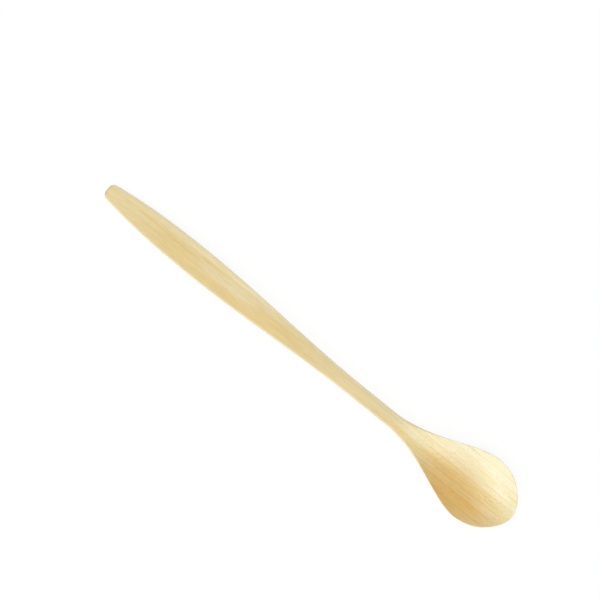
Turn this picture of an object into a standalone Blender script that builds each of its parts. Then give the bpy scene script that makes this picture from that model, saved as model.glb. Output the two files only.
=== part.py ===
"""Bamboo sorbet spoon: a long slim spoon carved from a board of upright bamboo strips.

Metres, +Z up. The spoon lies on its belly and on the end of its handle, with the hollow of the bowl
upwards. +X runs from the handle to the tip of the bowl. The origin is on the table, under the middle
of the spoon.
"""
import math

import bmesh
import bpy
import numpy as np
from mathutils import Vector

# Lengths along the spoon, one stretch after the other, from the end of the handle to the tip
SWELL_LENGTH = 0.044
TAPER_LENGTH = 0.073
NECK_LENGTH = 0.017
FLARE_LENGTH = 0.039
NOSE_LENGTH = 0.017

# Widths seen from above
END_WIDTH = 0.0056
END_CORNER_RADIUS = 0.0018
HANDLE_WIDTH = 0.0111
NECK_WIDTH = 0.0056
BOWL_WIDTH = 0.0268

# Thicknesses: what stands at the edge, and what each face adds at mid-width
HANDLE_EDGE = 0.0030
HANDLE_CROWN = 0.0002
END_ROUNDING = 0.0009
NECK_EDGE = 0.0036
NECK_CROWN = 0.0003
RIM_EDGE = 0.0008
BOWL_DEPTH = 0.0055
BOWL_FLOOR = 0.0018

# Radius of the softened edges, where the wood is thick enough for it
EDGE_RADIUS = 0.0008

# Heights above the table: the edges of the handle and neck, the rise of the rim to the tip, and the
# depth of the flats that are sanded where the spoon stands on the table
SWELL_HEIGHT = 0.0055
NECK_HEIGHT = 0.0090
NECK_END_DIP = 0.0003
TIP_RISE = 0.0012
REST_DEPTH = 0.00015

# The board: an odd count of strips on edge, side by side, with a line of glue between two strips and
# some waste beside the bowl; a strip that the outline hardly reaches is left off
STRIP_COUNT = 5
WASTE_WIDTH = 0.0031
GLUE_GAP = 0.0003
LEAST_SLIVER = 0.0006

# The strips' colours, from the middle of the board outwards: golden, straw and pale bamboo
STRIP_COLOURS = ((0.765, 0.610, 0.315), (0.780, 0.640, 0.355), (0.800, 0.670, 0.400))
ROUGHNESS = 0.55

# The course of the flare, as points of (share of its length, share of the change in size)
FLARE_WIDENING = (
    (0.0, 0.0), (0.20, 0.092), (0.40, 0.292), (0.60, 0.567), (0.75, 0.778), (0.85, 0.905), (0.93, 0.972),
    (1.0, 1.0),
)
FLARE_DEEPENING = ((0.0, 0.0), (0.19, 0.11), (0.39, 0.36), (0.65, 0.73), (1.0, 1.0))
FLARE_THINNING = ((0.0, 0.0), (0.25, 0.45), (0.60, 1.0), (1.0, 1.0))

# How much slimmer than half an ellipse the nose's outline runs
NOSE_SLIMMING = 0.7

# How full the handle's outline swells from its end
SWELL_POWER = 2.5

# Steps of the mesh
END_STEPS = 5
HANDLE_STEPS = 24
NECK_STEPS = 5
FLARE_STEPS = 16
NOSE_STEPS = 14
FACE_POINTS = 13
EDGE_STEPS = 6
SHARP_ANGLE = math.radians(40.0)

# Places along the spoon where one stretch meets the next
WIDEST_HANDLE = SWELL_LENGTH
NECK_START = WIDEST_HANDLE + TAPER_LENGTH
NECK_END = NECK_START + NECK_LENGTH
WIDEST_BOWL = NECK_END + FLARE_LENGTH
TIP = WIDEST_BOWL + NOSE_LENGTH

# Width of one strip, from one glue line to the next
STRIP_WIDTH = (BOWL_WIDTH + 2.0 * WASTE_WIDTH) / STRIP_COUNT

# Heights of the edges at both places where the spoon stands
END_HEIGHT = 0.5 * HANDLE_EDGE + HANDLE_CROWN - REST_DEPTH
RIM_HEIGHT = BOWL_DEPTH + BOWL_FLOOR - 0.5 * RIM_EDGE - REST_DEPTH


def smooth_curve(points):
    """Returns a function that runs smoothly through the points and never swings past them."""
    places = [point[0] for point in points]
    values = [point[1] for point in points]
    rates = [
        (values[i + 1] - values[i]) / (places[i + 1] - places[i])
        for i in range(len(points) - 1)
    ]
    slopes = [0.0] * len(points)
    for i in range(1, len(points) - 1):
        before, after = rates[i - 1], rates[i]
        if before * after > 0.0:
            slopes[i] = 2.0 * before * after / (before + after)

    def curve(place):
        place = min(max(place, places[0]), places[-1])
        i = min(int(np.searchsorted(places, place, side="right")) - 1, len(rates) - 1)
        span = places[i + 1] - places[i]
        share = (place - places[i]) / span
        rest = 1.0 - share
        return (
            values[i] * (1.0 + 2.0 * share) * rest ** 2
            + values[i + 1] * (3.0 - 2.0 * share) * share ** 2
            + slopes[i] * span * share * rest ** 2
            - slopes[i + 1] * span * share ** 2 * rest
        )

    return curve


flare_widening = smooth_curve(FLARE_WIDENING)
flare_deepening = smooth_curve(FLARE_DEEPENING)
flare_thinning = smooth_curve(FLARE_THINNING)
handle_edge = smooth_curve(((WIDEST_HANDLE, HANDLE_EDGE), (NECK_START, NECK_EDGE)))
handle_crown = smooth_curve(((WIDEST_HANDLE, HANDLE_CROWN), (NECK_START, NECK_CROWN)))
edge_height = smooth_curve((
    (0.0, END_HEIGHT),
    (WIDEST_HANDLE, SWELL_HEIGHT),
    (NECK_START, NECK_HEIGHT),
    (NECK_END, NECK_HEIGHT - NECK_END_DIP),
    (WIDEST_BOWL, RIM_HEIGHT),
    (TIP, RIM_HEIGHT + TIP_RISE),
))


def round_off(distance, radius):
    """How far a quarter circle of this radius draws a face in, at this distance from its end."""
    if distance >= radius:
        return 0.0
    return radius - math.sqrt(radius ** 2 - (radius - distance) ** 2)


def half_width(place):
    """Half the width of the spoon, seen from above."""
    if place < WIDEST_HANDLE:
        to_widest = (WIDEST_HANDLE - place) / SWELL_LENGTH
        width = HANDLE_WIDTH - (HANDLE_WIDTH - END_WIDTH) * to_widest ** SWELL_POWER
        return 0.5 * width - round_off(place, END_CORNER_RADIUS)
    if place < NECK_START:
        share = (place - WIDEST_HANDLE) / TAPER_LENGTH
        eased = share ** 2 * (3.0 - 2.0 * share)
        return 0.5 * (HANDLE_WIDTH + (NECK_WIDTH - HANDLE_WIDTH) * eased)
    if place < WIDEST_BOWL:
        widening = flare_widening((place - NECK_END) / FLARE_LENGTH)
        return 0.5 * (NECK_WIDTH + (BOWL_WIDTH - NECK_WIDTH) * widening)
    share = (place - WIDEST_BOWL) / NOSE_LENGTH
    filling = 1.0 - share ** 2 * (1.0 + NOSE_SLIMMING * share ** 2 * (1.0 - share))
    return 0.5 * BOWL_WIDTH * math.sqrt(max(filling, 0.0))


def half_edge(place):
    """Half the thickness at the edge."""
    if place < NECK_END:
        half = 0.5 * handle_edge(place)
        return half - round_off(place, min(END_ROUNDING, half))
    half = 0.5 * (NECK_EDGE + (RIM_EDGE - NECK_EDGE) * flare_thinning((place - NECK_END) / FLARE_LENGTH))
    return half - round_off(TIP - place, half)


def crowns(place):
    """How far the upper and the lower face stand higher at mid-width than at the edge."""
    if place < NECK_END:
        return handle_crown(place), -handle_crown(place)
    deepest_upper = -BOWL_DEPTH
    deepest_lower = -(BOWL_DEPTH + BOWL_FLOOR - RIM_EDGE)
    if place < WIDEST_BOWL:
        deepening = flare_deepening((place - NECK_END) / FLARE_LENGTH)
        upper = NECK_CROWN + (deepest_upper - NECK_CROWN) * deepening
        lower = -NECK_CROWN + (deepest_lower + NECK_CROWN) * deepening
        return upper, lower
    filling = (2.0 * half_width(place) / BOWL_WIDTH) ** 2
    return deepest_upper * filling, deepest_lower * filling


def section(place):
    """Points of the cross-section, once round: upper face, right edge, lower face, left edge."""
    width = half_width(place)
    edge = min(half_edge(place), width)
    radius = min(EDGE_RADIUS, edge)
    upper, lower = crowns(place)
    flat = width - radius
    rows = []
    for i in range(FACE_POINTS):
        rows.append((flat * (1.0 - 2.0 * i / (FACE_POINTS - 1)), edge))
    for i in range(1, EDGE_STEPS):
        turn = math.pi * i / EDGE_STEPS
        half = (2 * i < EDGE_STEPS) - (2 * i > EDGE_STEPS)
        rows.append((-flat - radius * math.sin(turn), radius * math.cos(turn) + half * (edge - radius)))
    around = rows + [(-side, -rise) for side, rise in rows]

    points = []
    for side, rise in around:
        crown = upper if rise > 0.0 else lower
        bulge = 1.0 - (side / width) ** 2 if width > 0.0 else 0.0
        points.append(Vector((place, side, edge_height(place) + rise + crown * bulge)))
    return points


def stations():
    """Places of the cross-sections, closer together where an end is rounded."""
    places = []
    for i in range(END_STEPS):
        places.append(END_CORNER_RADIUS * (1.0 - math.cos(0.5 * math.pi * i / END_STEPS)))
    stretches = (
        (END_CORNER_RADIUS, NECK_START, HANDLE_STEPS),
        (NECK_START, NECK_END, NECK_STEPS),
        (NECK_END, WIDEST_BOWL, FLARE_STEPS),
    )
    for start, end, steps in stretches:
        for i in range(steps):
            places.append(start + (end - start) * i / steps)
    for i in range(NOSE_STEPS + 1):
        places.append(WIDEST_BOWL + NOSE_LENGTH * math.sin(0.5 * math.pi * i / NOSE_STEPS))
    return places


def sand_flats(shape):
    """Sands off what reaches below the table: a flat under the belly and one under the handle's end."""
    cut = bmesh.ops.bisect_plane(
        shape,
        geom=shape.verts[:] + shape.edges[:] + shape.faces[:],
        dist=1e-7,
        plane_co=(0.0, 0.0, 0.0),
        plane_no=(0.0, 0.0, -1.0),
        clear_outer=True,
    )
    open_edges = [item for item in cut["geom_cut"] if isinstance(item, bmesh.types.BMEdge)]
    bmesh.ops.holes_fill(shape, edges=open_edges, sides=0)


def carved_blank():
    """The whole carved spoon as one closed mesh, a loft through all its cross-sections."""
    shape = bmesh.new()
    rings = []
    for place in stations():
        rings.append([shape.verts.new(point) for point in section(place)])
    count = len(rings[0])
    for near, far in zip(rings, rings[1:]):
        for i in range(count):
            j = (i + 1) % count
            shape.faces.new((near[i], near[j], far[j], far[i]))
    shape.faces.new(tuple(reversed(rings[0])))
    bmesh.ops.remove_doubles(shape, verts=rings[-1], dist=1e-6)
    sand_flats(shape)
    bmesh.ops.recalc_face_normals(shape, faces=shape.faces[:])
    bmesh.ops.translate(shape, verts=shape.verts[:], vec=(-0.5 * TIP, 0.0, 0.0))

    mesh = bpy.data.meshes.new("carved_blank")
    shape.to_mesh(mesh)
    shape.free()
    mesh.shade_smooth()
    mesh.set_sharp_from_angle(angle=SHARP_ANGLE)
    return mesh


def new_collection(name):
    collection = bpy.data.collections.new(name)
    bpy.context.scene.collection.children.link(collection)
    return collection


def bamboo(name, colour):
    material = bpy.data.materials.new(name)
    material.use_nodes = True
    shader = material.node_tree.nodes["Principled BSDF"]
    shader.inputs["Base Color"].default_value = (*colour, 1.0)
    shader.inputs["Roughness"].default_value = ROUGHNESS
    shader.inputs["Metallic"].default_value = 0.0
    material.diffuse_color = (*colour, 1.0)
    return material


def room_box(name, low, high):
    """A box from one corner to the other: the room that one strip takes in the board."""
    shape = bmesh.new()
    bmesh.ops.create_cube(shape, size=1.0)
    bmesh.ops.scale(shape, verts=shape.verts, vec=high - low)
    bmesh.ops.translate(shape, verts=shape.verts, vec=0.5 * (low + high))
    mesh = bpy.data.meshes.new(name)
    shape.to_mesh(mesh)
    shape.free()
    box = bpy.data.objects.new(name, mesh)
    box.hide_render = True
    box.display_type = "WIRE"
    return box


def strip_rooms():
    """Each strip's name, its place counted from the middle, and its room along and across the spoon."""
    glue = 0.5 * GLUE_GAP
    beyond = STRIP_WIDTH
    neck_middle = 0.5 * (NECK_START + NECK_END)
    handle = (-beyond, neck_middle - glue)
    bowl = (neck_middle + glue, TIP + beyond)
    half_strip = 0.5 * STRIP_WIDTH
    rooms = [("centre_strip", 0, (-beyond, TIP + beyond), (glue - half_strip, half_strip - glue))]
    for part_name, stretch, width in (("handle", handle, HANDLE_WIDTH), ("bowl", bowl, BOWL_WIDTH)):
        for number in range(1, STRIP_COUNT // 2 + 1):
            inner = (number - 0.5) * STRIP_WIDTH + glue
            outer = (number + 0.5) * STRIP_WIDTH - glue
            if inner + LEAST_SLIVER < 0.5 * width:
                rooms.append((f"{part_name}_left_strip_{number}", number, stretch, (inner, outer)))
                rooms.append((f"{part_name}_right_strip_{number}", number, stretch, (-outer, -inner)))
    return rooms


def main():
    for item in list(bpy.data.objects):
        bpy.data.objects.remove(item, do_unlink=True)
    spoon = new_collection("bamboo_sorbet_spoon")
    cutters = new_collection("cutters")
    blank = carved_blank()
    top = max(vertex.co.z for vertex in blank.vertices)

    for name, number, (start, end), (low, high) in strip_rooms():
        room = room_box(
            name + "_room",
            Vector((start - 0.5 * TIP, low, -top)),
            Vector((end - 0.5 * TIP, high, 2.0 * top)),
        )
        cutters.objects.link(room)
        mesh = blank.copy()
        mesh.name = name
        mesh.materials.append(bamboo(name, STRIP_COLOURS[number % len(STRIP_COLOURS)]))
        strip = bpy.data.objects.new(name, mesh)
        spoon.objects.link(strip)
        cut = strip.modifiers.new("room", "BOOLEAN")
        cut.operation = "INTERSECT"
        cut.solver = "EXACT"
        cut.object = room
    bpy.data.meshes.remove(blank)


main()
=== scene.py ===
# Bamboo sorbet spoon, dressed for its portrait. It lies on its belly with the hollow upwards:
# X runs from the handle's end to the tip, Y across, Z up, all in metres.
import math

import bmesh
import bpy
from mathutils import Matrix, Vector


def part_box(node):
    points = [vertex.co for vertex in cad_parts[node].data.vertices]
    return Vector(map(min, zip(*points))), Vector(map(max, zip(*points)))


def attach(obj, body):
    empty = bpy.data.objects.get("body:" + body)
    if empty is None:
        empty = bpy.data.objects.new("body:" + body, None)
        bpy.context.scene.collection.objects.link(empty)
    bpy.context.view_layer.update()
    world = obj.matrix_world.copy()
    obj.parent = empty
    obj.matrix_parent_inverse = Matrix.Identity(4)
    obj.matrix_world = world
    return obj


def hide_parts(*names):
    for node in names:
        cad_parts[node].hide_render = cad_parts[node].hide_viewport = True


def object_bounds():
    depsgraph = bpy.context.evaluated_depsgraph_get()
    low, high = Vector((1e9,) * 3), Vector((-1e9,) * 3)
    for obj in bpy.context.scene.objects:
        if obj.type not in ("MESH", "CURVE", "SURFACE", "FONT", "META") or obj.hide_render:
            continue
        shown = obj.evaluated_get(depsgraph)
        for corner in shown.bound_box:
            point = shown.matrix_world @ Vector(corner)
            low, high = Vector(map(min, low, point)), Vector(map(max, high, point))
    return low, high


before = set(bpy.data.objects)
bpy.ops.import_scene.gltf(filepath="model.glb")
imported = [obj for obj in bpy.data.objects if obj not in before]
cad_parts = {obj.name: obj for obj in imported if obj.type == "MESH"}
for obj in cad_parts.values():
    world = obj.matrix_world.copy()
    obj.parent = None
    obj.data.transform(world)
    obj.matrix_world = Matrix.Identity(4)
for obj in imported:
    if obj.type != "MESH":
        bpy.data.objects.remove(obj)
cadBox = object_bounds()
print("frame loaded:", len(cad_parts), "strips")


# The carved shape

spoon = {
    "swellLength": 0.044,  # the handle's end to its widest place
    "taperLength": 0.073,
    "neckLength": 0.017,
    "flareLength": 0.039,
    "noseLength": 0.017,
    "endWidth": 0.0056,
    "endCorner": 0.0018,  # radius of the handle's corners, seen from above
    "handleWidth": 0.0111,
    "neckWidth": 0.0056,
    "bowlWidth": 0.0268,
    "swellPower": 2.5,
    "handleEdge": 0.0030,  # thickness at the edge
    "handleCrown": 0.0002,  # what each face adds at mid-width
    "endRounding": 0.0009,
    "neckEdge": 0.0036,
    "neckCrown": 0.0003,
    "rimEdge": 0.0008,
    "edgeRadius": 0.0008,  # of the softened edges, where the wood is thick enough for it
    "bowlDepth": 0.0055,
    "bowlFloor": 0.0018,
    "swellHeight": 0.0055,  # height of the edges at the widest place of the handle
    "neckHeight": 0.0090,
    "neckEndDip": 0.0003,
    "tipRise": 0.0012,
    "restDepth": 0.00015,  # how deep the two flats are sanded that the spoon lies on
    # points of (share of the length, share of the change)
    "flareWidening": (
        (0.0, 0.0), (0.20, 0.092), (0.40, 0.292), (0.60, 0.567),
        (0.75, 0.778), (0.85, 0.905), (0.93, 0.972), (1.0, 1.0),
    ),
    "flareDeepening": ((0.0, 0.0), (0.19, 0.11), (0.39, 0.36), (0.65, 0.73), (1.0, 1.0)),
    "flareThinning": ((0.0, 0.0), (0.25, 0.45), (0.60, 1.0), (1.0, 1.0)),
    "noseSlimming": 0.7,  # how much slimmer than half an ellipse the nose's outline runs
}

meshSteps = {
    "end": 10,
    "handle": 170,
    "neck": 26,
    "flare": 80,
    "nose": 44,
    "face": 43,  # points across one face
    "edge": 14,  # steps round one edge
}

weldDistance = 1e-6  # points that lie this close are one
cutTolerance = 1e-7  # points that lie this close to a cut are on it

widestHandle = spoon["swellLength"]
neckStart = widestHandle + spoon["taperLength"]
neckEnd = neckStart + spoon["neckLength"]
widestBowl = neckEnd + spoon["flareLength"]
tip = widestBowl + spoon["noseLength"]
endHeight = 0.5 * spoon["handleEdge"] + spoon["handleCrown"] - spoon["restDepth"]
rimHeight = spoon["bowlDepth"] + spoon["bowlFloor"] - 0.5 * spoon["rimEdge"] - spoon["restDepth"]


def easedCurve(points):  # a smooth function through the points that never overshoots
    places = [point[0] for point in points]
    values = [point[1] for point in points]
    rates = []
    for i in range(len(points) - 1):
        rates.append((values[i + 1] - values[i]) / (places[i + 1] - places[i]))
    slopes = [0.0] * len(points)
    for i in range(1, len(rates)):
        if rates[i - 1] * rates[i] > 0.0:
            slopes[i] = 2.0 * rates[i - 1] * rates[i] / (rates[i - 1] + rates[i])

    def curve(place):
        place = min(max(place, places[0]), places[-1])
        i = 0
        while i < len(rates) - 1 and place >= places[i + 1]:
            i += 1
        span = places[i + 1] - places[i]
        share = (place - places[i]) / span
        rest = 1.0 - share
        start = values[i] * (1.0 + 2.0 * share) + slopes[i] * span * share
        end = values[i + 1] * (1.0 + 2.0 * rest) - slopes[i + 1] * span * rest
        return start * rest ** 2 + end * share ** 2

    return curve


flareWidening = easedCurve(spoon["flareWidening"])
flareDeepening = easedCurve(spoon["flareDeepening"])
flareThinning = easedCurve(spoon["flareThinning"])
handleEdge = easedCurve(((widestHandle, spoon["handleEdge"]), (neckStart, spoon["neckEdge"])))
handleCrown = easedCurve(((widestHandle, spoon["handleCrown"]), (neckStart, spoon["neckCrown"])))
edgeHeight = easedCurve((
    (0.0, endHeight),
    (widestHandle, spoon["swellHeight"]),
    (neckStart, spoon["neckHeight"]),
    (neckEnd, spoon["neckHeight"] - spoon["neckEndDip"]),
    (widestBowl, rimHeight),
    (tip, rimHeight + spoon["tipRise"]),
))


def roundOff(distance, radius):  # how far a quarter circle draws a face in near its end
    if distance >= radius:
        return 0.0
    return radius - math.sqrt(radius ** 2 - (radius - distance) ** 2)


def halfWidth(place):
    if place < widestHandle:
        toWidest = (widestHandle - place) / spoon["swellLength"]
        narrowing = (spoon["handleWidth"] - spoon["endWidth"]) * toWidest ** spoon["swellPower"]
        return 0.5 * (spoon["handleWidth"] - narrowing) - roundOff(place, spoon["endCorner"])
    if place < neckStart:
        share = (place - widestHandle) / spoon["taperLength"]
        eased = share ** 2 * (3.0 - 2.0 * share)
        return 0.5 * (spoon["handleWidth"] + (spoon["neckWidth"] - spoon["handleWidth"]) * eased)
    if place < widestBowl:
        widening = flareWidening((place - neckEnd) / spoon["flareLength"])
        return 0.5 * (spoon["neckWidth"] + (spoon["bowlWidth"] - spoon["neckWidth"]) * widening)
    share = (place - widestBowl) / spoon["noseLength"]
    filling = 1.0 - share ** 2 * (1.0 + spoon["noseSlimming"] * share ** 2 * (1.0 - share))
    return 0.5 * spoon["bowlWidth"] * math.sqrt(max(filling, 0.0))


def halfEdge(place):  # half the thickness at the edge
    if place < neckEnd:
        half = 0.5 * handleEdge(place)
        return half - roundOff(place, min(spoon["endRounding"], half))
    thinning = flareThinning((place - neckEnd) / spoon["flareLength"])
    half = 0.5 * (spoon["neckEdge"] + (spoon["rimEdge"] - spoon["neckEdge"]) * thinning)
    return half - roundOff(tip - place, half)


def crowns(place):  # how far the upper and the lower face stand higher at mid-width than at the edge
    if place < neckEnd:
        return handleCrown(place), -handleCrown(place)
    deepest = (-spoon["bowlDepth"], spoon["rimEdge"] - spoon["bowlDepth"] - spoon["bowlFloor"])
    if place < widestBowl:
        deepening = flareDeepening((place - neckEnd) / spoon["flareLength"])
        upper = spoon["neckCrown"] + (deepest[0] - spoon["neckCrown"]) * deepening
        lower = -spoon["neckCrown"] + (deepest[1] + spoon["neckCrown"]) * deepening
        return upper, lower
    filling = (2.0 * halfWidth(place) / spoon["bowlWidth"]) ** 2
    return deepest[0] * filling, deepest[1] * filling


def crossSection(place):  # points once round: upper face, right edge, lower face, left edge
    width = halfWidth(place)
    edge = min(halfEdge(place), width)
    radius = min(spoon["edgeRadius"], edge)
    flat = width - radius
    upper, lower = crowns(place)
    half = []
    for i in range(meshSteps["face"]):
        half.append((flat * (1.0 - 2.0 * i / (meshSteps["face"] - 1)), edge))
    for i in range(1, meshSteps["edge"]):
        turn = math.pi * i / meshSteps["edge"]
        above = (2 * i < meshSteps["edge"]) - (2 * i > meshSteps["edge"])  # 1 above the middle, -1 below
        half.append((-flat - radius * math.sin(turn), radius * math.cos(turn) + above * (edge - radius)))
    points = []
    for side, rise in half + [(-side, -rise) for side, rise in half]:
        crown = upper if rise > 0.0 else lower
        bulge = 1.0 - (side / width) ** 2 if width > 0.0 else 0.0
        points.append(Vector((place - 0.5 * tip, side, edgeHeight(place) + rise + crown * bulge)))
    return points


def stations():  # places of the cross-sections, closer together where an end is rounded
    places = []
    for i in range(meshSteps["end"]):
        places.append(spoon["endCorner"] * (1.0 - math.cos(0.5 * math.pi * i / meshSteps["end"])))
    stretches = (
        (spoon["endCorner"], neckStart, meshSteps["handle"]),
        (neckStart, neckEnd, meshSteps["neck"]),
        (neckEnd, widestBowl, meshSteps["flare"]),
    )
    for start, end, steps in stretches:
        for i in range(steps):
            places.append(start + (end - start) * i / steps)
    for i in range(meshSteps["nose"] + 1):
        places.append(widestBowl + spoon["noseLength"] * math.sin(0.5 * math.pi * i / meshSteps["nose"]))
    return places


def cutAway(shape, place, normal):  # cuts off what lies on the normal's side, and closes the cut
    geometry = shape.verts[:] + shape.edges[:] + shape.faces[:]
    cut = bmesh.ops.bisect_plane(
        shape, geom=geometry, dist=cutTolerance, plane_co=place, plane_no=normal, clear_outer=True
    )
    rims = [item for item in cut["geom_cut"] if isinstance(item, bmesh.types.BMEdge)]
    for edge in rims:
        edge.smooth = False
    caps = bmesh.ops.holes_fill(shape, edges=rims, sides=0)["faces"]
    bmesh.ops.triangulate(shape, faces=caps)


def carvedSpoon():  # a tube wrapped round all the cross-sections, closed at both ends
    rings = [crossSection(place) for place in stations()]
    around = len(rings[0])
    shape = bmesh.new()
    bmesh.ops.create_cone(shape, cap_ends=False, segments=around, radius1=1.0, radius2=1.0, depth=1.0)
    # the tube stands from -0.5 to 0.5 in Z, and each of its points moves to its cross-section
    lengthways = [edge for edge in shape.edges if abs(edge.verts[0].co.z - edge.verts[1].co.z) > 0.5]
    bmesh.ops.subdivide_edges(shape, edges=lengthways, cuts=len(rings) - 2, use_grid_fill=True)
    for vert in shape.verts:
        ring = round((vert.co.z + 0.5) * (len(rings) - 1))
        point = round(math.atan2(vert.co.y, vert.co.x) / (2.0 * math.pi) * around) % around
        vert.co = rings[ring][point]
    bmesh.ops.remove_doubles(shape, verts=shape.verts, dist=weldDistance)
    bmesh.ops.holes_fill(shape, edges=[edge for edge in shape.edges if edge.is_boundary], sides=0)
    bmesh.ops.recalc_face_normals(shape, faces=shape.faces)
    for face in shape.faces:
        face.smooth = True
    cutAway(shape, (0.0, 0.0, 0.0), (0.0, 0.0, -1.0))
    return shape


# Shader kit

class Tap:  # an output of a node, whose maths is written as expressions
    def __init__(self, finish, socket):
        self.finish = finish
        self.socket = socket

    def __add__(self, other):
        return self.finish.maths("ADD", self, other)

    def __radd__(self, other):
        return self.finish.maths("ADD", other, self)

    def __sub__(self, other):
        return self.finish.maths("SUBTRACT", self, other)

    def __mul__(self, other):
        return self.finish.maths("MULTIPLY", self, other)

    def __truediv__(self, other):
        return self.finish.maths("DIVIDE", self, other)

    def __pow__(self, other):
        return self.finish.maths("POWER", self, other)

    def __abs__(self):
        return self.finish.maths("ABSOLUTE", self)


class Finish:  # a material or a world under construction
    def __init__(self, holder):
        holder.use_nodes = True
        self.tree = holder.node_tree
        self.tree.nodes.clear()

    def add(self, kind, settings, sockets, take=0):
        node = self.tree.nodes.new(kind)
        for setting, choice in settings.items():
            setattr(node, setting, choice)
        for name, value in sockets.items():
            if isinstance(value, Tap):
                self.tree.links.new(value.socket, node.inputs[name])
            else:
                node.inputs[name].default_value = value
        if isinstance(take, tuple):
            return [Tap(self, node.outputs[name]) for name in take]
        return Tap(self, node.outputs[take]) if len(node.outputs) else None

    def maths(self, operation, *values):
        return self.add("ShaderNodeMath", {"operation": operation}, dict(enumerate(values)))

    def blend(self, factor, first, second):  # from the first colour to the second
        settings = {"data_type": "RGBA", "blend_type": "MIX"}
        return self.add("ShaderNodeMix", settings, {0: factor, 6: first, 7: second}, take=2)

    def tint(self, factor, colour, tint):  # multiplies the colour by the tint, as far as the factor says
        settings = {"data_type": "RGBA", "blend_type": "MULTIPLY"}
        return self.add("ShaderNodeMix", settings, {0: factor, 6: colour, 7: tint}, take=2)

    def ease(self, value, start, end, low=0.0, high=1.0):  # a soft step from low to high
        sockets = {"Value": value, "From Min": start, "From Max": end, "To Min": low, "To Max": high}
        return self.add("ShaderNodeMapRange", {"interpolation_type": "SMOOTHSTEP"}, sockets)

    def parts(self, vector):  # its X, Y and Z
        return self.add("ShaderNodeSeparateXYZ", {}, {"Vector": vector}, take=("X", "Y", "Z"))

    def stretch(self, place, size):  # coordinates in which a pattern has this length, width and depth
        scale = tuple(1.0 / length for length in size)
        return self.add("ShaderNodeMapping", {}, {"Vector": place, "Scale": scale})

    def noise(self, place, size, detail=2.0, roughness=0.5):
        sockets = {"Vector": self.stretch(place, size), "Scale": 1.0}
        sockets.update({"Detail": detail, "Roughness": roughness})
        return self.add("ShaderNodeTexNoise", {}, sockets)

    def rods(self, place, size):  # distance from the middle of the nearest rod
        sockets = {"Vector": self.stretch(place, size), "Scale": 1.0}
        return self.add("ShaderNodeTexVoronoi", {"feature": "F1"}, sockets, take="Distance")


def tone(red, green, blue):  # a colour as it is seen on the screen, 0 to 255
    linear = []
    for level in (red, green, blue):
        share = level / 255.0
        linear.append(share / 12.92 if share <= 0.04045 else ((share + 0.055) / 1.055) ** 2.4)
    return (*linear, 1.0)


# Bamboo

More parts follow.
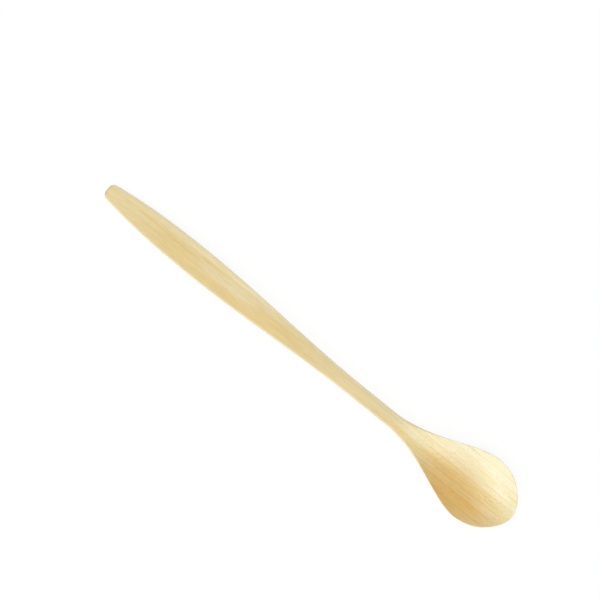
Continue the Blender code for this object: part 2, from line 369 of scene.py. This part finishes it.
bamboo = {
    # length along the fibres, width across and depth of each pattern
    "wander": (0.110, 1.0, 1.0),
    "bands": (0.046, 0.0024, 0.012),
    "layers": (0.090, 0.00060, 0.0060),
    "bundles": (0.070, 0.00080, 0.00080),
    "fading": (0.026, 0.0016, 0.0016),
    "fibres": (0.020, 0.00028, 0.00028),
    "flecks": (0.0044, 0.00048, 0.00048),
    "clouds": (0.034, 0.0070, 0.0070),
    "straying": (0.0012, 0.0002),  # how far the fibres stray sideways in the handle and in the bowl
    "strayingChange": 0.02,  # length of the stretch before the bowl where the one becomes the other
    "stripShift": (0.31, 0.17),  # how far apart, along and across, neighbours take their patterns
    # levels of a pattern, from 0 to 1, where it begins to show and where it shows in full
    "layerLevels": (0.46, 0.72),
    "fibreLevels": (0.45, 0.75),
    "fadingLevels": (0.35, 0.65),
    "fleckLevels": (0.3, 0.7),
    "cloudLevels": (0.3, 0.7),
    "cloudLight": (0.97, 1.03),  # how light the darkest and the lightest clouds are
    "fadedShare": 0.2,  # what is left of a bundle where it has faded
    "fibreCrispness": 0.6,  # how much the finest detail of the fibres counts
    "bundleCore": (0.10, 0.34),  # shares of the bundles' spacing where the dark begins to fade and ends
    # the ground: straw in the handle, pale in the bowl, cream towards the board's left side,
    # golden in the heart of the bowl, and amber towards its right side; the cream is painted light on
    # the lit wall of the hollow and on the handle's left half, and the amber is painted shade on the
    # hollow's shaded wall
    "straw": tone(225, 207, 158),
    "pale": tone(247, 234, 192),
    "paintedLightCream": tone(247, 241, 213),
    "golden": tone(227, 204, 155),
    "paintedShadeAmber": tone(231, 194, 124),
    "bowlPlace": (0.036, 0.050),  # along the board, where the handle's looks end and the bowl's are full
    # the painted light's cream: where it begins and where it is full across the board, and its share in
    # the handle and in the bowl
    "paintedLightCreamPlace": (-0.0015, 0.0095),  # across the board
    "paintedLightCreamShare": (0.7, 1.0),  # in the handle and in the bowl
    # painted light at the nose: the cream spreads further right and the whole nose is made lighter
    "nosePlace": (0.080, 0.092),  # along the board, where the cream spreads to the right
    "paintedLightNoseSpread": 0.0065,
    "paintedNoseLight": 1.03,
    # the painted shade's amber: where it begins and where it is full across the board, and its share
    # round the heart of the bowl
    "paintedShadeAmberPlace": (0.001, -0.007),  # across the board
    "paintedShadeAmberShare": 0.45,  # round the heart of the bowl
    "heartMiddle": (0.0720, -0.006),
    "heartSize": (0.0208, 0.0165),
    "heartFade": (1.0, 0.25),  # shares of that size where the heart begins and where it is full
    "patchFade": (1.2, 0.4),  # and the same for the patches of the handle
    # what darkens the ground, each at full strength
    "bandTint": tone(252, 242, 215),
    "layerTint": tone(247, 243, 230),
    "bundleTint": tone(244, 238, 222),
    "fibreTint": tone(246, 243, 232),
    "glueTint": tone(250, 245, 234),
    "endGrainTint": tone(249, 242, 226),
    # strengths in the handle and in the bowl
    "bandContrast": (1.6, 4.2),  # how crisp the golden bands are
    "banding": (1.0, 0.85),
    "grain": (0.65, 0.95),  # of the layers, bundles and fibres
    "flecking": (0.034, 0.023),  # how much lighter or darker a short fleck can be
    # thin lines along the board
    "glueWidth": 0.00010,
    "glueCore": 0.3,  # share of that width where the glue's tone is full
    "rowPlace": 0.0011,  # a pair of darker fibre rows beside the middle of the board
    "rowWidth": 0.00036,
    "rowStrength": 0.6,
    # the outer sides of the handle, painted lighter as painted light, and how far a face looks outwards,
    # upwards or along the fibres where the tone of a side or of end grain begins and where it is full
    "leftSidePaintedLight": tone(246, 235, 194),
    "rightSidePaintedLight": tone(233, 216, 168),
    "sideMeeting": (-0.001, 0.001),  # across the board, from the right side's tone to the left's
    "sideShare": 0.9,
    "sideOutwards": (0.15, 0.55),
    "sideUpwards": (-0.6, -0.3),
    "endGrainFacing": (0.45, 1.0),
    # the surface
    "roughness": 0.50,
    "fibreRoughness": 0.16,
    "endGrainRoughness": 0.1,
    "ior": 1.45,
    "relief": 0.000015,
    "reliefShares": {"fibres": 0.5, "layers": 0.25, "bundles": 0.5},
}

# for each strip its slot, how light it is beside its neighbours, how strong its golden bands are,
# and the tone of its rim's outer side in the bowl: painted shade, darker on the left strips, and painted
# light, paler on the right ones
stripLooks = {
    "centre": {"slot": "golden_bamboo", "light": 1.0, "banding": 1.0, "rim": tone(236, 223, 181)},
    "left_1": {"slot": "straw_bamboo", "light": 1.02, "banding": 0.8, "rim": tone(226, 211, 168)},
    "right_1": {"slot": "straw_bamboo", "light": 0.985, "banding": 0.8, "rim": tone(248, 234, 194)},
    "left_2": {"slot": "pale_bamboo", "light": 1.02, "banding": 0.6, "rim": tone(204, 187, 141)},
    "right_2": {"slot": "pale_bamboo", "light": 0.985, "banding": 0.8, "rim": tone(248, 234, 194)},
}

# patches of the handle where the golden bands lie closer or further apart:
# the middle of each, its half length and half width, and how much more golden it is
handlePatches = {
    "goldenMiddle": ((-0.0605, -0.0003), (0.0135, 0.0032), 0.40),
    "goldenRight": ((-0.0330, -0.0029), (0.0200, 0.0017), 0.45),
    "goldenLeft": ((-0.0480, 0.0024), (0.0110, 0.0009), 0.30),
    "goldenTaper": ((-0.0150, -0.0005), (0.0150, 0.0022), 0.35),
    "paleMiddle": ((-0.0410, 0.0004), (0.0130, 0.0018), -0.35),
    "paleEnd": ((-0.0890, 0.0), (0.0130, 0.0035), -0.25),
    "paleNeck": ((0.0270, 0.0), (0.0200, 0.0030), -0.20),
}


def handleToBowl(finish, along, values=(0.0, 1.0)):  # eases from the handle's value to the bowl's
    return finish.ease(along, *bamboo["bowlPlace"], *values)


def awayFrom(along, across, middle, size):  # distance from the middle of an ellipse, 1 on its outline
    return (((along - middle[0]) / size[0]) ** 2.0 + ((across - middle[1]) / size[1]) ** 2.0) ** 0.5


# the ground carries painted light on the board's left side and painted shade on its right side in the
# bowl
def boardGround(finish, along, across):  # the colour of the board before its grain
    bowl = handleToBowl(finish, along)
    # painted light: the cream spreads further right at the nose
    spread = finish.ease(along, *bamboo["nosePlace"], 0.0, bamboo["paintedLightNoseSpread"])
    paintedLightCreamShare = handleToBowl(finish, along, bamboo["paintedLightCreamShare"])
    leftwards = finish.ease(across + spread, *bamboo["paintedLightCreamPlace"]) * paintedLightCreamShare
    rightwards = finish.ease(across, *bamboo["paintedShadeAmberPlace"])
    ground = finish.blend(bowl, bamboo["straw"], bamboo["pale"])
    ground = finish.blend(leftwards, ground, bamboo["paintedLightCream"])
    ground = finish.blend(rightwards * bowl * bamboo["paintedShadeAmberShare"], ground, bamboo["paintedShadeAmber"])
    fromHeart = awayFrom(along, across, bamboo["heartMiddle"], bamboo["heartSize"])
    heart = finish.ease(fromHeart, *bamboo["heartFade"])
    return finish.blend(heart, ground, finish.blend(rightwards, bamboo["golden"], bamboo["paintedShadeAmber"]))


def goldenShift(finish, along, across):  # how much the handle's patches add to the golden bands
    shift = 0.0
    for middle, size, amount in handlePatches.values():
        away = awayFrom(along, across, middle, size)
        shift = shift + finish.ease(away, *bamboo["patchFade"], 0.0, amount)
    return shift


def grainPatterns(finish, place, number, bowlStart):
    # every strip was sawn from another stretch of a culm, a little off the line of its fibres
    along, across, height = finish.parts(place)
    strayed = finish.noise(place, bamboo["wander"], detail=0.0) - 0.5
    straying = finish.ease(along, bowlStart - bamboo["strayingChange"], bowlStart, *bamboo["straying"])
    shiftAlong, shiftAcross = bamboo["stripShift"]
    shifted = {
        "X": along + shiftAlong * number,
        "Y": across + strayed * straying + shiftAcross * number,
        "Z": height,
    }
    fibrePlace = finish.add("ShaderNodeCombineXYZ", {}, shifted)
    fading = finish.noise(fibrePlace, bamboo["fading"], detail=1.0)
    fading = finish.ease(fading, *bamboo["fadingLevels"], bamboo["fadedShare"], 1.0)
    bundles = finish.ease(finish.rods(fibrePlace, bamboo["bundles"]), *bamboo["bundleCore"], 1.0, 0.0)
    return {
        "bands": finish.noise(fibrePlace, bamboo["bands"]),
        "layers": finish.ease(finish.noise(fibrePlace, bamboo["layers"]), *bamboo["layerLevels"]),
        "fading": fading,
        "bundles": bundles * fading,
        "fibres": finish.noise(fibrePlace, bamboo["fibres"], roughness=bamboo["fibreCrispness"]),
        "flecks": finish.noise(fibrePlace, bamboo["flecks"]),
        "clouds": finish.noise(fibrePlace, bamboo["clouds"]),
    }


def grainedColour(finish, along, across, patterns, strip):  # the board with its bands and lines
    colour = boardGround(finish, along, across)
    bands = (patterns["bands"] - 0.5) * handleToBowl(finish, along, bamboo["bandContrast"])
    bands = finish.ease(bands + 0.5 + goldenShift(finish, along, across), 0.0, 1.0)
    banding = handleToBowl(finish, along, bamboo["banding"]) * stripLooks[strip]["banding"]
    colour = finish.tint(bands * banding, colour, bamboo["bandTint"])
    grain = handleToBowl(finish, along, bamboo["grain"])
    fibres = finish.ease(patterns["fibres"], *bamboo["fibreLevels"])
    colour = finish.tint(patterns["layers"] * grain, colour, bamboo["layerTint"])
    colour = finish.tint(fibres * grain, colour, bamboo["fibreTint"])
    colour = finish.tint(patterns["bundles"] * grain, colour, bamboo["bundleTint"])
    if strip == "centre":
        fromRow = abs(abs(across) - bamboo["rowPlace"])
        rows = finish.ease(fromRow, 0.0, bamboo["rowWidth"], bamboo["rowStrength"], 0.0)
        colour = finish.tint(rows * patterns["fading"], colour, bamboo["layerTint"])
    return colour


def sideColour(finish, along, across, outwards, upwards, strip, colour):
    # adds painted light to the outer sides of the handle, and painted light and painted shade to the
    # rim's outer side in the bowl
    side = finish.ease(outwards, *bamboo["sideOutwards"], 0.0, bamboo["sideShare"])
    side = side * finish.ease(upwards, *bamboo["sideUpwards"])
    leftwards = finish.ease(across, *bamboo["sideMeeting"])
    handleTone = finish.blend(leftwards, bamboo["rightSidePaintedLight"], bamboo["leftSidePaintedLight"])
    sideTone = finish.blend(handleToBowl(finish, along), handleTone, stripLooks[strip]["rim"])
    return finish.blend(side, colour, sideTone)


def boardLight(finish, along, patterns, light):  # soft clouds, the lighter nose and the short flecks
    darkest, lightest = bamboo["cloudLight"]
    shade = finish.ease(patterns["clouds"], *bamboo["cloudLevels"], darkest * light, lightest * light)
    # painted light: the nose is made lighter
    shade = shade * finish.ease(along, *bamboo["nosePlace"], 1.0, bamboo["paintedNoseLight"])
    flecks = finish.ease(patterns["flecks"], *bamboo["fleckLevels"], -1.0, 1.0)
    return shade * (flecks * handleToBowl(finish, along, bamboo["flecking"]) + 1.0)


def bambooFinish(strip, number, gluePlaces, bowlStart):
    material = bpy.data.materials.new("bamboo_" + strip)
    finish = Finish(material)
    place = finish.add("ShaderNodeTexCoord", {}, {}, take="Object")
    along, across, height = finish.parts(place)
    facing = finish.add("ShaderNodeNewGeometry", {}, {}, take="Normal")
    endwise, sidewise, upwards = finish.parts(facing)
    outwards = sidewise * finish.maths("SIGN", across)
    patterns = grainPatterns(finish, place, number, bowlStart)

    colour = grainedColour(finish, along, across, patterns, strip)
    glueCore = bamboo["glueCore"] * bamboo["glueWidth"]
    for gluePlace in gluePlaces:
        glue = finish.ease(abs(across - gluePlace), glueCore, bamboo["glueWidth"], 1.0, 0.0)
        colour = finish.tint(glue, colour, bamboo["glueTint"])
    colour = sideColour(finish, along, across, outwards, upwards, strip, colour)
    endGrain = finish.ease(abs(endwise), *bamboo["endGrainFacing"])
    colour = finish.tint(endGrain, colour, bamboo["endGrainTint"])
    shade = boardLight(finish, along, patterns, stripLooks[strip]["light"])
    colour = finish.add("ShaderNodeVectorMath", {"operation": "SCALE"}, {0: colour, "Scale": shade})

    shares = bamboo["reliefShares"]
    grainHeight = patterns["fibres"] * shares["fibres"] - patterns["layers"] * shares["layers"]
    grainHeight = grainHeight - patterns["bundles"] * shares["bundles"]
    relief = {"Height": grainHeight, "Strength": 1.0, "Distance": bamboo["relief"]}
    roughness = bamboo["roughness"] + (patterns["fibres"] - 0.5) * bamboo["fibreRoughness"]
    sockets = {
        "Base Color": colour,
        "Roughness": roughness + endGrain * bamboo["endGrainRoughness"],
        "Normal": finish.add("ShaderNodeBump", {}, relief),
        "Metallic": 0.0,
        "IOR": bamboo["ior"],
    }
    shader = finish.add("ShaderNodeBsdfPrincipled", {}, sockets)
    finish.add("ShaderNodeOutputMaterial", {}, {"Surface": shader})
    return material


# Strips: the carved blank cut along its glue lines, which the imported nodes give

def stripPiece(blank, node, low, high, start, end, material):
    shape = blank.copy()
    for place, normal in (
        ((0.0, high, 0.0), (0.0, 1.0, 0.0)),
        ((0.0, low, 0.0), (0.0, -1.0, 0.0)),
        ((end, 0.0, 0.0), (1.0, 0.0, 0.0)),
        ((start, 0.0, 0.0), (-1.0, 0.0, 0.0)),
    ):
        cutAway(shape, place, normal)
    mesh = bpy.data.meshes.new("bamboo_" + node)
    shape.to_mesh(mesh)
    shape.free()
    mesh.materials.append(material)
    piece = bpy.data.objects.new("bamboo_" + node, mesh)
    bpy.context.scene.collection.objects.link(piece)
    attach(piece, "root")
    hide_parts(node)
    return piece


def buildStrips():
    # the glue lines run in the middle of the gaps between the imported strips
    inner = 0.5 * (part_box("bowl_left_strip_1")[0].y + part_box("centre_strip")[1].y)
    outer = 0.5 * (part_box("bowl_left_strip_2")[0].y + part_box("bowl_left_strip_1")[1].y)
    beyond = cadBox[1].x + inner
    neckMiddle = 0.5 * (neckStart + neckEnd) - 0.5 * tip
    bowlStart = neckEnd - 0.5 * tip
    blank = carvedSpoon()
    sides = {
        "centre": (-inner, inner),
        "left_1": (inner, outer),
        "right_1": (-outer, -inner),
        "left_2": (outer, beyond),
        "right_2": (-beyond, -outer),
    }
    finishes = {}
    for number, strip in enumerate(stripLooks):
        gluePlaces = [side for side in sides[strip] if abs(side) < beyond]
        finishes[strip] = bambooFinish(strip, number, gluePlaces, bowlStart)
    stretches = {
        "centre": (-beyond, beyond),
        "handle": (-beyond, neckMiddle),
        "bowl": (neckMiddle, beyond),
    }
    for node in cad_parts:  # such as centre_strip and bowl_left_strip_1
        words = node.split("_")
        stretch = words[0]
        strip = "centre" if stretch == "centre" else words[1] + "_" + words[3]
        piece = stripPiece(blank, node, *sides[strip], *stretches[stretch], finishes[strip])
        print("strip made:", piece.name, len(piece.data.polygons), "faces")
    blank.free()


buildStrips()


# Studio

studio = {
    "floorSize": 6.0,
    "floorTone": (0.86, 0.86, 0.86, 1.0),
    "floorWhite": 1.04,
    "shadowShare": 0.16,  # how much of the floor's own shading the camera sees
    "skyStrength": 0.53,
    # each softbox: where it stands seen from above, its elevation in degrees, its distance and size,
    # and the share of the light on a level surface that it gives
    "sideLamp": ((0.0, -1.0), 26.0, 1.4, 0.60, 0.10),
    "topLamp": ((0.0, -1.0), 82.0, 1.4, 1.20, 0.60),
}


def buildFloor():
    shape = bmesh.new()
    bmesh.ops.create_grid(shape, x_segments=1, y_segments=1, size=0.5 * studio["floorSize"])
    mesh = bpy.data.meshes.new("floor")
    shape.to_mesh(mesh)
    shape.free()
    floor = bpy.data.objects.new("floor", mesh)
    bpy.context.scene.collection.objects.link(floor)
    material = bpy.data.materials.new("floor")
    mesh.materials.append(material)
    finish = Finish(material)
    paper = finish.add("ShaderNodeBsdfDiffuse", {}, {"Color": studio["floorTone"]})
    white = finish.add("ShaderNodeEmission", {}, {"Strength": studio["floorWhite"]})
    clear = finish.add("ShaderNodeBsdfTransparent", {}, {})
    seen = finish.add("ShaderNodeLightPath", {}, {}, take="Is Camera Ray")
    under = finish.add("ShaderNodeNewGeometry", {}, {}, take="Backfacing")
    share = seen * (1.0 - studio["shadowShare"])
    surface = finish.add("ShaderNodeMixShader", {}, {0: share, 1: paper, 2: white})
    surface = finish.add("ShaderNodeMixShader", {}, {0: seen * under, 1: surface, 2: clear})
    finish.add("ShaderNodeOutputMaterial", {}, {"Surface": surface})


def buildSky():
    world = bpy.data.worlds.new("studio")
    bpy.context.scene.world = world
    finish = Finish(world)
    camera, gloss, passing = finish.add(
        "ShaderNodeLightPath", {}, {}, take=("Is Camera Ray", "Is Glossy Ray", "Is Transmission Ray")
    )
    seen = finish.maths("MAXIMUM", finish.maths("MAXIMUM", camera, gloss), passing)
    strength = studio["skyStrength"] + seen * (1.0 - studio["skyStrength"])
    sky = finish.add("ShaderNodeBackground", {}, {"Strength": strength})
    finish.add("ShaderNodeOutputWorld", {}, {"Surface": sky})


def buildLamp(name):
    side, elevation, distance, size, level = studio[name]
    side = Vector(side).normalized()
    tilt = math.radians(elevation)
    towards = Vector((side.x * math.cos(tilt), side.y * math.cos(tilt), math.sin(tilt)))
    lamp = bpy.data.lights.new(name, "AREA")
    lamp.shape = "SQUARE"
    lamp.size = size
    lamp.energy = level * (math.pi * distance) ** 2 / math.sin(tilt)
    softbox = bpy.data.objects.new(name, lamp)
    softbox.location = towards * distance
    softbox.rotation_euler = (-towards).to_track_quat("-Z", "Y").to_euler()
    bpy.context.scene.collection.objects.link(softbox)


portrait = {
    "lens": 150.0,
    "sensor": 36.0,
    "nearest": 0.01,  # what lies closer to the camera is cut away
    "pictureWidth": 0.2180,  # what the frame takes in at the height of the spoon's face
    "faceHeight": 0.009,
    "middle": (-0.0147, 0.01274),
    "lean": 39.0,  # degrees that the handle's axis leans in the picture
}


def buildCamera():
    camera = bpy.data.cameras.new("portrait")
    camera.lens = portrait["lens"]
    camera.sensor_width = portrait["sensor"]
    camera.clip_start = portrait["nearest"]
    viewer = bpy.data.objects.new("portrait", camera)
    distance = portrait["pictureWidth"] * portrait["lens"] / portrait["sensor"]
    viewer.location = (*portrait["middle"], portrait["faceHeight"] + distance)
    viewer.rotation_euler = (0.0, 0.0, math.radians(portrait["lean"]))
    bpy.context.scene.collection.objects.link(viewer)
    bpy.context.scene.camera = viewer


buildFloor()
buildSky()
buildLamp("sideLamp")
buildLamp("topLamp")
buildCamera()
bpy.context.scene.view_settings.view_transform = "Standard"
print("studio ready")
